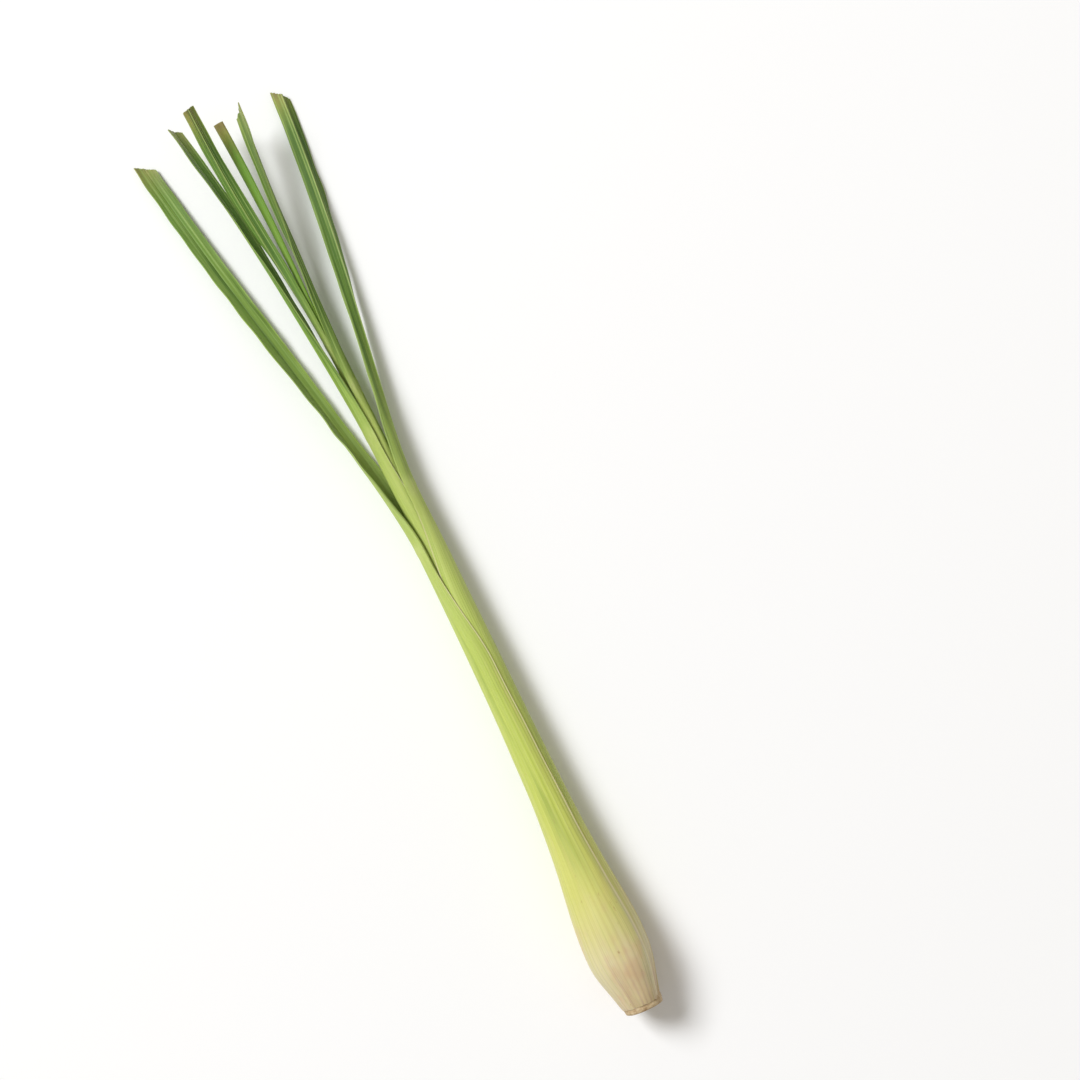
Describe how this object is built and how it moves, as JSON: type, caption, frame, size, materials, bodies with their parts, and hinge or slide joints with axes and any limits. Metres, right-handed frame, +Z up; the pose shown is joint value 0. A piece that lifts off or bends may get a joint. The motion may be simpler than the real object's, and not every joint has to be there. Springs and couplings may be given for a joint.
{
  "type": "lemongrass stalk",
  "caption": "Cut lemongrass stalk lying on its side: a swollen pale base, nested sheaths closing into a slender neck, and narrow blades fanning out to square-cut tips.",
  "frame": {"origin": "middle of the small flat spot under the widest part of the bulb, on the surface the stalk lies on", "axes": "+X along the stalk from the cut base to the leaf tips, +Y to the stalk's left seen from above, +Z up"},
  "size_m": [0.3416, 0.0592, 0.0239],
  "materials": {
    "basal_stem": "dry cut plant tissue, matt, pale tan",
    "outer_leaf": "fresh sheath, satin, cream at the base and yellow green above",
    "inner_leaf": "fresh grass blade, satin, mid green with a dull bloom",
    "young_leaf": "rolled young grass blade, satin, deeper green"
  },
  "bodies": {
    "root": {"basal_stem": "basal_stem", "leaf_1": "outer_leaf", "leaf_2": "outer_leaf", "leaf_3": "inner_leaf", "leaf_4": "inner_leaf", "leaf_5": "inner_leaf", "spear_leaf": "young_leaf"}
  },
  "joints": []
}
